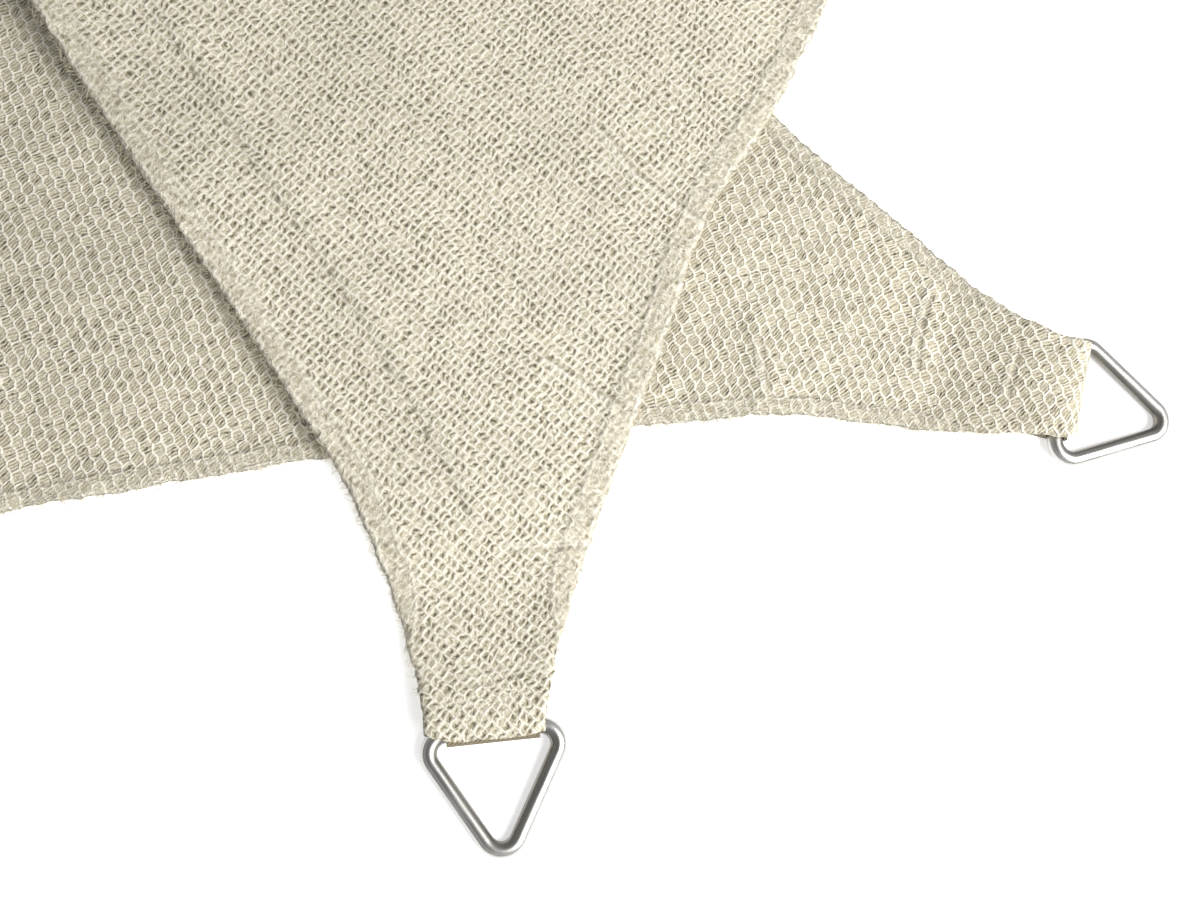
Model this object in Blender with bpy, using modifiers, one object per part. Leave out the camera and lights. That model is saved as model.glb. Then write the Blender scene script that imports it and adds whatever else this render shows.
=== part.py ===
"""A triangular shade sail with a steel ring at each corner, folded and laid on a flat surface.

The cloth is drawn flat, as it was cut, and then folded over three creases. A point of the flat
cloth is a complex number in metres: x to the right, y away from the front. Corner A lies where it
was cut. Corner C is tucked under the middle, and corner B is folded down over everything.
"""

import cmath
import math
from collections import namedtuple

import bmesh
import bpy
from mathutils import Vector
from mathutils.geometry import delaunay_2d_cdt

# The sail
SIDE = 2.4  # between corner points, which lie inside the rings
THICKNESS = 0.0014
HOLLOW = 0.060  # how far the middle of a side is drawn in

# How it lies
CORNER_A_FACES = 162.0  # degrees, from the corner point into the cloth
CORNER_B_FACES = 93.7
CORNER_B_POINT = complex(-0.2087, -0.1173)  # folded, from corner A's point
FIRST_CREASE_ANGLE = 272.0
THIRD_CREASE_ANGLE = 42.5  # as it lies folded
THIRD_CREASE_START = 0.050  # along the side, past the first crease
LAYER_STEP = 0.0040  # between the middles of two layers
WAVE_HEIGHT = 0.0008  # for each layer above the lowest

# The cloth's way down from a layer that ends beneath it, measured past that layer's edge
STEP_CLEAR = 0.008
STEP_DOWN = 0.045
MIDDLE_CLEAR = 0.010
MIDDLE_DOWN = 0.110

# The corners
CORNER_REACH = 0.2  # from a corner point, past which its ring changes nothing
TIP_HALF_WIDTH = 0.0175
TIP_START = 0.0215  # where the cloth's two edges end, from the corner point
WIRE = 0.005
RING_SIDE = 0.046  # of the triangle that the wire's centre line is rounded from
RING_CORNER_RADIUS = 0.0055
BAR_GAP = 0.0004
TAPE = 0.0009
TAPE_WIDTH = 0.0272
TAPE_TAIL = 0.026  # from the bar's middle to the tape's sewn end
TAPE_JOIN = 0.014  # where its two plies meet
TAPE_SHOULDER = 55.0  # degrees, where the upper ply leaves the bar
BAR_HEIGHT = WIRE / 2 + BAR_GAP + TAPE
COVER_RADIUS = 0.0057  # of the cloth's middle where it bends over the bar
RISE_LENGTH = 0.045  # over which the cloth climbs onto the bar

# The mesh: its triangles are small in the open corners and grow away from them
FINE = 0.014
COARSE = 0.062
FINE_REACH = 0.36  # from an open corner's point
FINE_FADE = 0.25  # past that reach, over which the triangles grow
TUCKED_GROWTH = 0.2  # of their size, for each metre from the tucked corner
EDGE_SHARE = 0.85  # of a triangle's size, between the outline's points
EDGE_STEP = 0.006  # between the outline's first points
EDGE_GROWTH = 0.16
CREASE_STEP = 0.040
ROWS_IN_CREASE = 5
ROW_CLEAR = 0.3  # of a step, kept clear beside a crease's rows
PAST_START = 5  # steps that a crease's rows go on past its start
CREASE_MARGIN = 0.004  # from a crease's last point to the edge

# The rows of points across each corner's end, close together where the cloth bends over the bar
TIP_REACH = 0.055
TIP_START_ROW = -0.0055  # from the bar's middle, into the cloth
TIP_STEP = 0.0018
TIP_GROWTH = 0.12
TIP_SPREAD = 0.35  # by which half a row widens for each metre into the cloth
TIP_ACROSS = 0.009
TIP_MARGIN = 0.0016

Row = namedtuple("Row", "along inset")
Corner = namedtuple("Corner", "name point faces bar shift turn bulge")
Crease = namedtuple("Crease", "start angle radius over")

# The sail's edge near each corner: distance along the side from the corner point, and how far
# the edge lies inside the straight side
EDGES = {
    ("a", "b"): (
        Row(0.026, -0.0030),
        Row(0.038, 0.0045),
        Row(0.054, 0.0085),
        Row(0.090, 0.0125),
        Row(0.148, 0.0190),
    ),
    ("b", "a"): (
        Row(0.027, -0.0030),
        Row(0.042, 0.0045),
        Row(0.079, 0.0148),
        Row(0.111, 0.0193),
        Row(0.280, 0.0213),
    ),
    ("b", "c"): (
        Row(0.027, -0.0060),
        Row(0.042, -0.0012),
        Row(0.089, 0.0057),
        Row(0.150, 0.0110),
        Row(0.193, 0.0155),
        Row(0.240, 0.0105),
        Row(0.300, 0.0100),
    ),
    ("c", "b"): (
        Row(0.026, -0.0040),
        Row(0.042, 0.0020),
        Row(0.090, 0.0110),
        Row(0.280, 0.0250),
    ),
    ("c", "a"): (
        Row(0.026, -0.0040),
        Row(0.042, 0.0020),
        Row(0.090, 0.0110),
        Row(0.280, 0.0250),
    ),
    ("a", "c"): (
        Row(0.027, -0.0033),
        Row(0.046, 0.0020),
        Row(0.074, 0.0106),
        Row(0.114, 0.0235),
        Row(0.158, 0.0290),
        Row(0.251, 0.0390),
        Row(0.346, 0.0427),
    ),
}


def direction(degrees):
    return cmath.rect(1.0, math.radians(degrees))


def dot(a, b):
    return a.real * b.real + a.imag * b.imag


def mirrored(spot, start, angle):
    """The spot on the other side of the line through start at this angle."""
    return start + (spot - start).conjugate() * direction(2 * angle)


def crossing(start, angle, other_start, other_angle):
    """Where two lines meet."""
    normal = direction(other_angle + 90)
    reach = dot(other_start - start, normal) / dot(direction(angle), normal)
    return start + reach * direction(angle)


def ease(share):
    """0 below 0, 1 above 1, and a smooth climb between."""
    share = min(max(share, 0.0), 1.0)
    return share * share * (3 - 2 * share)


# The flat sail: corner A at the origin, and the corners in turn against the clock
ANGLE_AB = CORNER_A_FACES - 30
ANGLE_AC = CORNER_A_FACES + 30
CORNERS = {
    "a": Corner("a", 0j, CORNER_A_FACES, 0.0246, 0.0030, 3.5, 0.0068),
    "b": Corner("b", SIDE * direction(ANGLE_AB), ANGLE_AB + 150, 0.0219, -0.0038, 1.0, 0.0020),
    "c": Corner("c", SIDE * direction(ANGLE_AC), ANGLE_AC + 210, 0.0236, 0.0, 0.0, 0.0060),
}
SIDES = (("a", "b", ANGLE_AB), ("b", "c", ANGLE_AB + 120), ("c", "a", ANGLE_AB + 240))

# Corner B turns about one point on its way down, and the first two creases leave from there
TURN_OF_B = CORNER_B_FACES - CORNERS["b"].faces
TURN = direction(TURN_OF_B)
TURN_CENTRE = (CORNER_B_POINT - TURN * CORNERS["b"].point) / (1 - TURN)
FIRST = Crease(TURN_CENTRE, FIRST_CREASE_ANGLE, LAYER_STEP, -90)
SECOND_ANGLE = FIRST_CREASE_ANGLE - TURN_OF_B / 2 - 180
SECOND = Crease(TURN_CENTRE, SECOND_ANGLE, LAYER_STEP / 2, -90)
FIRST_END = crossing(TURN_CENTRE, FIRST_CREASE_ANGLE, 0j, ANGLE_AC)
THIRD = Crease(
    FIRST_END + THIRD_CREASE_START * direction(ANGLE_AC),
    2 * FIRST_CREASE_ANGLE - THIRD_CREASE_ANGLE,
    LAYER_STEP / 2,
    90,
)
THIRD_START_IN_PLAN = mirrored(THIRD.start, FIRST.start, FIRST.angle)


def slopes_of(rows):
    """A slope at each row that never overshoots, for a smooth curve through the rows."""
    steps = [
        (after.inset - before.inset) / (after.along - before.along)
        for before, after in zip(rows, rows[1:])
    ]
    inner = [
        0.0 if one * other <= 0 else 2 * one * other / (one + other)
        for one, other in zip(steps, steps[1:])
    ]
    return [steps[0], *inner, steps[-1]]


def rows_of(first, second):
    """All rows of the side between two corners, in order along it."""
    near = list(EDGES[first, second])
    far = [Row(SIDE - row.along, row.inset) for row in reversed(EDGES[second, first])]
    middle = [
        Row(SIDE * share, HOLLOW * 4 * share * (1 - share)) for share in (0.33, 0.5, 0.67)
    ]
    return near + middle + far


ROWS = {(first, second): rows_of(first, second) for first, second, _ in SIDES}
SLOPES = {side: slopes_of(rows) for side, rows in ROWS.items()}


def inset_at(side, along):
    """How far the sail's edge lies inside the straight side, this far along it."""
    rows = ROWS[side]
    slopes = SLOPES[side]
    along = min(max(along, rows[0].along), rows[-1].along)
    index = max(i for i in range(len(rows) - 1) if rows[i].along <= along)
    before, after = rows[index], rows[index + 1]
    width = after.along - before.along
    t = (along - before.along) / width
    return (
        before.inset * (1 + 2 * t) * (1 - t) ** 2
        + slopes[index] * width * t * (1 - t) ** 2
        + after.inset * t * t * (3 - 2 * t)
        + slopes[index + 1] * width * t * t * (t - 1)
    )


def inside_side(spot, side):
    """How far the spot lies inside the sail's edge on this side."""
    first, second, angle = side
    offset = spot - CORNERS[first].point
    along = dot(offset, direction(angle))
    return dot(offset, direction(angle + 90)) - inset_at((first, second), along)


def spacing_at(spot):
    """The size of the mesh's triangles here: small in corners A and B, larger elsewhere."""
    open_corner = min(abs(spot - CORNERS["a"].point), abs(spot - CORNERS["b"].point))
    tucked_corner = abs(spot - CORNERS["c"].point)
    fine = FINE + (COARSE - FINE) * ease((open_corner - FINE_REACH) / FINE_FADE)
    return min(fine, FINE + TUCKED_GROWTH * tucked_corner)


def tip_points(corner, start, end):
    """The cloth's end over the ring's bar: a shallow arc between its two edges."""
    steps = 8
    points = []
    for step in range(1, steps):
        across = 2 * step / steps - 1
        bulge = corner.bulge * (1 - across**4)
        points.append(start + (end - start) * step / steps - bulge * direction(corner.faces))
    return points


def outline_points():
    """The sail's outline as it was cut, against the clock."""
    sides = []
    for first, second, angle in SIDES:
        rows = ROWS[first, second]
        along = rows[0].along
        points = []
        while along < rows[-1].along:
            spot = CORNERS[first].point + along * direction(angle)
            edge = spot + inset_at((first, second), along) * direction(angle + 90)
            points.append(edge)
            widest = EDGE_SHARE * spacing_at(edge)
            along += min(widest, EDGE_STEP + EDGE_GROWTH * (along - rows[0].along))
        last = CORNERS[first].point + rows[-1].along * direction(angle)
        points.append(last + rows[-1].inset * direction(angle + 90))
        sides.append(points)
    outline = []
    for (first, _, _), before, points in zip(SIDES, [sides[-1], *sides[:-1]], sides):
        outline += tip_points(CORNERS[first], before[-1], points[0])
        outline += points
    return outline


def crease_offsets(crease):
    """How far past the crease each of its rows of mesh points lies, over the width of its bend."""
    steps = ROWS_IN_CREASE - 1
    return [half_wrap(crease) * (2 * row / steps - 1) for row in range(ROWS_IN_CREASE)]


def bending_outline():
    """The outline, with further points wherever it crosses a crease's rows."""
    outline = outline_points()
    points = []
    for spot, following in zip(outline, [*outline[1:], outline[0]]):
        shares = [0.0]
        for crease in (FIRST, SECOND, THIRD):
            before, after = past(spot, crease), past(following, crease)
            for offset in crease_offsets(crease):
                if (before - offset) * (after - offset) < 0:
                    shares.append((offset - before) / (after - before))
        points += [spot + share * (following - spot) for share in sorted(shares)]
    return points


def within_sail(spot, margin):
    """True where the spot lies inside the cloth's edges and ends by at least this margin."""
    if any(inside_side(spot, side) < margin for side in SIDES):
        return False
    for corner in CORNERS.values():
        offset = spot - corner.point
        across = abs(dot(offset, direction(corner.faces + 90))) / TIP_HALF_WIDTH
        end = TIP_START - corner.bulge * (1 - min(across, 1.0) ** 4)
        if dot(offset, direction(corner.faces)) < end + margin:
            return False
    return True


def past(spot, crease):
    """How far the spot lies past the crease, on the side that is folded over."""
    return dot(spot - crease.start, direction(crease.angle + crease.over))


def half_wrap(crease):
    """Half the length of cloth that goes round the crease."""
    return math.pi * crease.radius / 2


def crease_points():
    """Rows of mesh points along each crease, from one side of its bend to the other."""
    points = []
    for crease in (FIRST, SECOND, THIRD):
        across = direction(crease.angle + crease.over)
        for offset in crease_offsets(crease):
            for step in range(-PAST_START, int(SIDE / CREASE_STEP)):
                spot = crease.start + step * CREASE_STEP * direction(crease.angle)
                spot += offset * across
                if within_sail(spot, CREASE_MARGIN):
                    points.append(spot)
    return points


def clear_of_creases(spot):
    """True where no crease's own rows of points are near."""
    return all(
        abs(past(spot, crease)) > half_wrap(crease) + ROW_CLEAR * CREASE_STEP
        for crease in (FIRST, SECOND, THIRD)
    )


def lattice(corner, spacing):
    """Rows of equal triangles' points, from a corner over the whole sail."""
    rows = int(1.2 * SIDE / spacing)
    points = []
    for row in range(rows):
        along = spacing * (row * 0.866 + 0.3)
        for place in range(-rows, rows):
            across = spacing * (place + 0.5 * (row % 2))
            spot = corner.point + along * direction(corner.faces)
            points.append(spot + across * direction(corner.faces + 90))
    return points


def field_points():
    """The points inside the sail: fine rows about the two open corners, coarse ones elsewhere."""
    points = []
    for name, spacing in (("a", FINE), ("a", COARSE), ("b", FINE)):
        corner = CORNERS[name]
        for spot in lattice(corner, spacing):
            if spacing == FINE and abs(spot - corner.point) > 0.55 * SIDE:
                continue
            if min(abs(spot - bar_centre(other)) for other in CORNERS.values()) < TIP_REACH:
                continue
            if abs(spacing_at(spot) - spacing) > 0.5 * (COARSE - FINE):
                continue
            if within_sail(spot, 0.45 * spacing) and clear_of_creases(spot):
                points.append(spot)
    return points


def tip_rows():
    """Rows of mesh points across each corner's end, close together where it bends over the bar."""
    points = []
    for corner in CORNERS.values():
        inward = into_cloth(corner)
        centre = bar_centre(corner)
        distance = TIP_START_ROW
        while distance < TIP_REACH:
            half = TIP_HALF_WIDTH + TIP_SPREAD * max(distance, 0.0)
            count = 3 + int(half / TIP_ACROSS)
            for step in range(-count, count + 1):
                spot = centre + distance * inward + half * step / count * 1j * inward
                if within_sail(spot, TIP_MARGIN):
                    points.append(spot)
            distance += TIP_STEP + TIP_GROWTH * max(distance, 0.0)
    return points


def over_layer_a(spot):
    """1 where corner A's layer lies beneath, and a smooth way down past its edges."""
    inside = min(inside_side(spot, SIDES[0]), inside_side(spot, SIDES[2]))
    return ease((STEP_DOWN + inside) / (STEP_DOWN - STEP_CLEAR))


def over_middle(spot):
    """1 where the middle lies beneath, and a smooth way down past its creased edge."""
    inside = dot(spot - THIRD_START_IN_PLAN, direction(THIRD_CREASE_ANGLE + 90))
    return ease((MIDDLE_DOWN + inside) / (MIDDLE_DOWN - MIDDLE_CLEAR))


def wave(spot):
    """A gentle unevenness, between -1 and 1."""
    return 0.5 * (
        math.sin(19 * spot.real + 7 * spot.imag) + math.sin(23 * spot.imag - 9 * spot.real + 1)
    )


def height_a():
    return THICKNESS / 2


def height_c(spot):
    return THICKNESS / 2 + LAYER_STEP * over_layer_a(spot)


def height_middle(spot):
    return height_c(spot) + LAYER_STEP + WAVE_HEIGHT * wave(spot)


def height_b(spot):
    stacked = over_middle(spot)
    raised = 2 * LAYER_STEP * stacked + 2 * WAVE_HEIGHT * wave(spot) * stacked
    return height_c(spot) + raised


def bent(spot, crease):
    """The spot once the cloth past the crease is folded back, and its share of the way up."""
    distance = past(spot, crease)
    half = half_wrap(crease)
    if distance <= -half:
        return spot, 0.0
    if distance >= half:
        return spot - 2 * distance * direction(crease.angle + crease.over), 1.0
    turn = (distance + half) / crease.radius
    moved = crease.radius * math.sin(turn) - half - distance
    return spot + moved * direction(crease.angle + crease.over), (1 - math.cos(turn)) / 2


def laid(spot):
    """The plan position and the height of a point of the flat cloth once the sail is folded."""
    if past(spot, FIRST) < half_wrap(FIRST):
        plan, share = bent(spot, FIRST)
        low, high = height_a(), height_middle(plan)
    elif past(spot, SECOND) > -half_wrap(SECOND):
        plan, share = bent(spot, SECOND)
        plan = mirrored(plan, FIRST.start, FIRST.angle)
        low, high = height_middle(plan), height_b(plan)
    else:
        plan, share = bent(spot, THIRD)
        plan = mirrored(plan, FIRST.start, FIRST.angle)
        low, high = height_middle(plan), height_c(plan)
    return plan, low + (high - low) * share


def bar_centre(corner):
    """The middle of the ring's bar on the flat cloth."""
    across = corner.shift * direction(corner.faces + 90)
    return corner.point + corner.bar * direction(corner.faces) + across


def into_cloth(corner):
    """The way from the ring's bar into the flat cloth, square to the bar."""
    return direction(corner.faces + corner.turn)


def over_bar(spot):
    """The spot moved by its way over a ring's bar, and the height that it gains there."""
    for corner in CORNERS.values():
        inward = dot(spot - bar_centre(corner), into_cloth(corner))
        if abs(spot - corner.point) > CORNER_REACH or inward > RISE_LENGTH:
            continue
        rise = BAR_HEIGHT + COVER_RADIUS - THICKNESS / 2
        if inward >= 0:
            return spot, rise * (1 - ease(inward / RISE_LENGTH))
        turn = -inward / COVER_RADIUS
        moved = -COVER_RADIUS * math.sin(turn) - inward
        drop = COVER_RADIUS * (1 - math.cos(turn))
        return spot + moved * into_cloth(corner), rise - drop
    return spot, 0.0


def cloth_point(spot):
    """Where a point of the flat cloth lies once the sail is folded on the surface."""
    spot, rise = over_bar(spot)
    plan, height = laid(spot)
    return Vector((plan.real, plan.imag, height + rise))


def material(name, colour, roughness, metallic=0.0):
    made = bpy.data.materials.new(name)
    made.use_nodes = True
    shader = made.node_tree.nodes["Principled BSDF"]
    shader.inputs["Base Color"].default_value = (*colour, 1.0)
    shader.inputs["Roughness"].default_value = roughness
    shader.inputs["Metallic"].default_value = metallic
    made.diffuse_color = (*colour, 1.0)
    return made


def add_object(name, data, collection, finish, parent):
    made = bpy.data.objects.new(name, data)
    made.data.materials.append(finish)
    made.parent = parent
    collection.objects.link(made)
    return made


def make_cloth(collection, finish, parent):
    """The sail: its flat mesh folded point by point, then given its thickness."""
    outline = bending_outline()
    points = outline + crease_points() + tip_rows() + field_points()
    flat = [Vector((spot.real, spot.imag)) for spot in points]
    border = list(range(len(outline)))
    found = delaunay_2d_cdt(flat, [], [border], 1, 1e-5)
    mesh = bpy.data.meshes.new("sail_cloth")
    placed = [cloth_point(complex(vertex.x, vertex.y)) for vertex in found[0]]
    mesh.from_pydata(placed, [], found[2])
    sheet = bmesh.new()
    sheet.from_mesh(mesh)
    bmesh.ops.delete(sheet, geom=[v for v in sheet.verts if not v.link_faces], context="VERTS")
    bmesh.ops.recalc_face_normals(sheet, faces=sheet.faces)
    sheet.to_mesh(mesh)
    sheet.free()
    mesh.shade_smooth()
    cloth = add_object("sail_cloth", mesh, collection, finish, parent)
    thick = cloth.modifiers.new("thickness", "SOLIDIFY")
    thick.thickness = THICKNESS
    thick.offset = 0.0
    return cloth


def arc(centre, radius, start, end, steps):
    """Points on an arc, with the angles in degrees."""
    return [
        centre + radius * direction(start + (end - start) * step / steps)
        for step in range(steps + 1)
    ]


def add_spline(curve, points):
    spline = curve.splines.new("POLY")
    spline.points.add(len(points) - 1)
    for place, spot in zip(spline.points, points):
        place.co = (spot.real, spot.imag, 0.0, 1.0)
    spline.use_cyclic_u = True


def ring_line():
    """The wire's centre line: a rounded triangle with its bar on the Y axis, pointing to -X."""
    height = RING_SIDE * math.sqrt(3) / 2
    inset = RING_CORNER_RADIUS * 2
    points = []
    for spot, faces in (
        (complex(0, RING_SIDE / 2), -120.0),
        (complex(-height, 0), 0.0),
        (complex(0, -RING_SIDE / 2), 120.0),
    ):
        centre = spot + inset * direction(faces)
        points += arc(centre, RING_CORNER_RADIUS, faces + 120, faces + 240, 6)
    return points


def corner_place(corner):
    """Where the middle of a corner's bar lies once folded, and the angle from there inwards."""
    centre, _ = laid(bar_centre(corner))
    inner, _ = laid(bar_centre(corner) + RISE_LENGTH * into_cloth(corner))
    return centre, cmath.phase(inner - centre)


def make_ring(corner, collection, finish, parent):
    """The steel ring: its bar held in the loop, its point resting on the surface."""
    curve = bpy.data.curves.new("ring_" + corner.name, "CURVE")
    curve.dimensions = "3D"
    curve.bevel_depth = WIRE / 2
    curve.bevel_resolution = 4
    add_spline(curve, ring_line())
    ring = add_object("ring_" + corner.name, curve, collection, finish, parent)
    centre, inward = corner_place(corner)
    reach = RING_SIDE * math.sqrt(3) / 2 - RING_CORNER_RADIUS
    tilt = math.asin((BAR_HEIGHT - WIRE / 2) / reach)
    ring.location = (centre.real, centre.imag, BAR_HEIGHT)
    ring.rotation_euler = (0.0, -tilt, inward)
    return ring


def loop_outline():
    """The loop seen along the bar: round the bar on the left, and its sewn tail to the right."""
    radius = BAR_HEIGHT
    plies = 2 * TAPE
    round_part = arc(complex(0, radius), radius, TAPE_SHOULDER, 270.0, 18)
    tail = [complex(TAPE_TAIL, 0), complex(TAPE_TAIL, plies), complex(TAPE_JOIN, plies)]
    return round_part + tail


def make_loop(corner, collection, finish, parent):
    """The tape loop that ties the ring to the cloth's underside."""
    curve = bpy.data.curves.new("corner_loop_" + corner.name, "CURVE")
    curve.dimensions = "2D"
    curve.fill_mode = "BOTH"
    curve.extrude = TAPE_WIDTH / 2
    add_spline(curve, loop_outline())
    hole = arc(complex(0, BAR_HEIGHT), WIRE / 2 + BAR_GAP, 0.0, 345.0, 23)
    add_spline(curve, hole)
    loop = add_object("corner_loop_" + corner.name, curve, collection, finish, parent)
    centre, inward = corner_place(corner)
    loop.location = (centre.real, centre.imag, 0.0)
    loop.rotation_euler = (math.pi / 2, 0.0, inward)
    return loop


def centre_on_origin(root, parts):
    """Moves the whole sail so that the middle of its plan lies on the origin."""
    bpy.context.view_layer.update()
    graph = bpy.context.evaluated_depsgraph_get()
    spots = []
    for part in parts:
        seen = part.evaluated_get(graph)
        spots += [seen.matrix_world @ vertex.co for vertex in seen.to_mesh().vertices]
        seen.to_mesh_clear()
    root.location.x = -(min(spot.x for spot in spots) + max(spot.x for spot in spots)) / 2
    root.location.y = -(min(spot.y for spot in spots) + max(spot.y for spot in spots)) / 2


def main():
    for old in list(bpy.data.objects):
        bpy.data.objects.remove(old, do_unlink=True)
    collection = bpy.data.collections.new("shade_sail")
    bpy.context.scene.collection.children.link(collection)
    root = bpy.data.objects.new("sail_middle", None)
    collection.objects.link(root)
    cloth_finish = material("knitted_cloth", (0.72, 0.67, 0.52), 0.9)
    tape_finish = material("woven_tape", (0.42, 0.37, 0.25), 0.85)
    steel_finish = material("polished_steel", (0.62, 0.60, 0.57), 0.18, 1.0)
    parts = [make_cloth(collection, cloth_finish, root)]
    for corner in CORNERS.values():
        parts.append(make_ring(corner, collection, steel_finish, root))
        parts.append(make_loop(corner, collection, tape_finish, root))
    centre_on_origin(root, parts)


main()
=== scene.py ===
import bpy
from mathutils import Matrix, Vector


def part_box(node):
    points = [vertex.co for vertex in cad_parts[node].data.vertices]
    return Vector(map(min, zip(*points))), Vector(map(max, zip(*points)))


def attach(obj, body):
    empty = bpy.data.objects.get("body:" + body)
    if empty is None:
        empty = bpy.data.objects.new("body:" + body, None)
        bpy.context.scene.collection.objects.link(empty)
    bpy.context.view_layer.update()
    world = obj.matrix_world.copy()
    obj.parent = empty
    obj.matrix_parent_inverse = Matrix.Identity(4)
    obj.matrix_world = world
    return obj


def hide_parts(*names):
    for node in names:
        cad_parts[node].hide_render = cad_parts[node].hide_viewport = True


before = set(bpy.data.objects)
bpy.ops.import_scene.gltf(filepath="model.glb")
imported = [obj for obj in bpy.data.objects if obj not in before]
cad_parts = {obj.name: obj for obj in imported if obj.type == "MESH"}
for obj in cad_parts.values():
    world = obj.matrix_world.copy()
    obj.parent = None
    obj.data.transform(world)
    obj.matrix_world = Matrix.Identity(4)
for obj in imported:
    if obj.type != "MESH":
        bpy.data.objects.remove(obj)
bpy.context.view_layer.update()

# A triangular shade sail of knitted cloth, folded and laid on a pale floor, with loose fibres on
# its visible edges and a steel ring in a tape loop at each corner. The cloth is drawn flat, as it
# was cut, and folded over three creases. A point of the flat cloth is a complex number in metres,
# from corner A's point. So is one of the plan, the folded sail seen from above.

import cmath
import math
import random
from collections import namedtuple

import bmesh
import bpy
from mathutils import Matrix, Vector
from mathutils.geometry import delaunay_2d_cdt

# The sail and how it lies, as in the solid model
SIDE = 2.4
HOLLOW = 0.060
CORNER_A_FACES = 162.0
CORNER_B_FACES = 93.7
CORNER_B_POINT = complex(-0.2087, -0.1173)
FIRST_CREASE_ANGLE = 272.0
THIRD_CREASE_ANGLE = 42.5
THIRD_CREASE_START = 0.050
LAYER_STEP = 0.0040
LIFT = 0.0007
WAVE_HEIGHT = 0.0008
STEP_CLEAR = 0.008
STEP_DOWN = 0.045
MIDDLE_CLEAR = 0.010
MIDDLE_DOWN = 0.110

# The corners, as in the solid model
TIP_HALF_WIDTH = 0.0175
TIP_START = 0.0215
WIRE = 0.005
RING_SIDE = 0.046
RING_CORNER_RADIUS = 0.0055
BAR_HEIGHT = 0.0038
COVER_RADIUS = 0.0057
RISE_LENGTH = 0.045
TIP_STEPS = 16
RING_STEPS = 14
RING_HEIGHT = RING_SIDE * math.sqrt(3) / 2
RING_TILT = math.asin((BAR_HEIGHT - WIRE / 2) / (RING_HEIGHT - RING_CORNER_RADIUS))

# How far from a corner's point the cloth may pass over the bar, or end beyond it
BAR_RANGE = 0.2
END_RANGE = 0.1

# The flat mesh: the spacing of its points, and how it grows away from the photographed part
FINEST = 0.0024
LEVELS = 4
FINE_LEVELS = 2
COARSEST = FINEST * 2 ** (LEVELS - 1)
GROWTH = 0.14
SPACING_AT_C = 0.004
GROWTH_FROM_C = 0.10
FINE_RANGE = 0.50
ROW_SHARE = 0.866
LEVEL_RANGE = (0.71, 1.42)
EDGE_ROOM = 0.4
CREASE_ROOM = 0.3
OUTLINE_SHARE = 0.6
LONGEST_EDGE = 0.012
SHORTEST_EDGE = 0.001
CREASE_STEP = 0.020
CREASE_MARGIN = 0.003
ROWS_IN_CREASE = 7
INSIDE_ONLY = 1
MERGED_WITHIN = 1e-5
SHOWN_X = (-0.365, 0.06)
SHOWN_Y = (-0.165, 0.155)

# The cloth's thickness and the heights and sizes of its small forms
CLOTH = 0.0011
HEM_RISE = 0.0003
HEM_STEP = 0.0035
HEM_STEP_BACK = 0.0005
HEM_CROWN = 0.0002
HEM_PUCKER = 0.00035
PUCKER_SIZE = 0.0045
HEM_RANGE = 0.03
HEM_WIDTHS = {"a": 0.0060, "b": 0.0085, "c": 0.0075}
PLAIN_TIP = 0.020
PLAIN_TIP_FADE = 0.030
RAGGED = 0.00045
RAGGED_SIZES = ((0.0021, 0.9), (0.0065, 2.9))
RAGGED_DEPTH = 0.004
SOFT_FORMS = ((0.00012, 0.011, 0.4), (0.0002, 0.034, 2.2))
SMOOTH_CREASE = 0.004
SMOOTH_CREASE_FADE = 0.02
SEAM_REACH = 0.006

# The fibres: their thickness, the ranges of their steps and forms, and where there are none
FIBRE_RADIUS = 0.00010
FIBRE_PIECES = 3
FIBRE_STEPS = (0.0002, 0.0009)
FIBRE_LENGTHS = (0.0007, 0.0026)
FIBRE_LEANS = (-1.1, 1.1)
FIBRE_CURLS = (-0.9, 0.9)
FIBRE_LIFTS = (-0.15, 0.35)
FIBRE_ROOT = 0.0004
FIBRELESS_END = 0.012
UNSEEN_FROM = 0.01
UNSEEN_STEP = 0.004

# The directions of the knit's chains, in degrees: on the flap, and on the rest, where they turn
CHAINS_ON_FLAP = -41.0
CHAINS_LEAN = 67.5
CHAINS_TURN = 4.5
CHAINS_TURN_LENGTH = 0.35

# The cloth's places for its materials: in the knit, in the hem, at a seam, and the seam's marks
UV_LAYERS = ("knit", "edge", "seam", "mark")

# The stage
FLOOR_REACH = 6.0
FLOOR_BELOW = 0.0001
FLOOR_GLOW = 0.48
LAMP_WAY = (0.60, -0.30, 0.72)
LAMP_ENERGY = 16.0
LAMP_SIZE = 0.84
SKY_STRENGTH = 0.66
SKY_SHARES = (0.70, 1.42)
SKY_FACING = (-0.6, 0.9)
SKY_STOPS = ((0.0, 0.10), (0.12, 0.14), (0.26, 1.0), (0.60, 1.15), (0.78, 0.50), (1.0, 0.32))
BRIGHT_SIDE = (0.87, -0.50, 0.0)
CAMERA_TILT = 12.5
CAMERA_SIDE = 235.5
CAMERA_DISTANCE = 0.460
CAMERA_TARGET = complex(-0.1724, -0.0117)
CAMERA_LENS = 45.0
CAMERA_SENSOR = 36.0

Row = namedtuple("Row", "along inset")
Corner = namedtuple("Corner", "name point faces bar shift turn bulge")
Crease = namedtuple("Crease", "start angle radius over")
Relief = namedtuple("Relief", "layer height width points")
Seam = namedtuple("Seam", "layer depth holes points")

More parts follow.
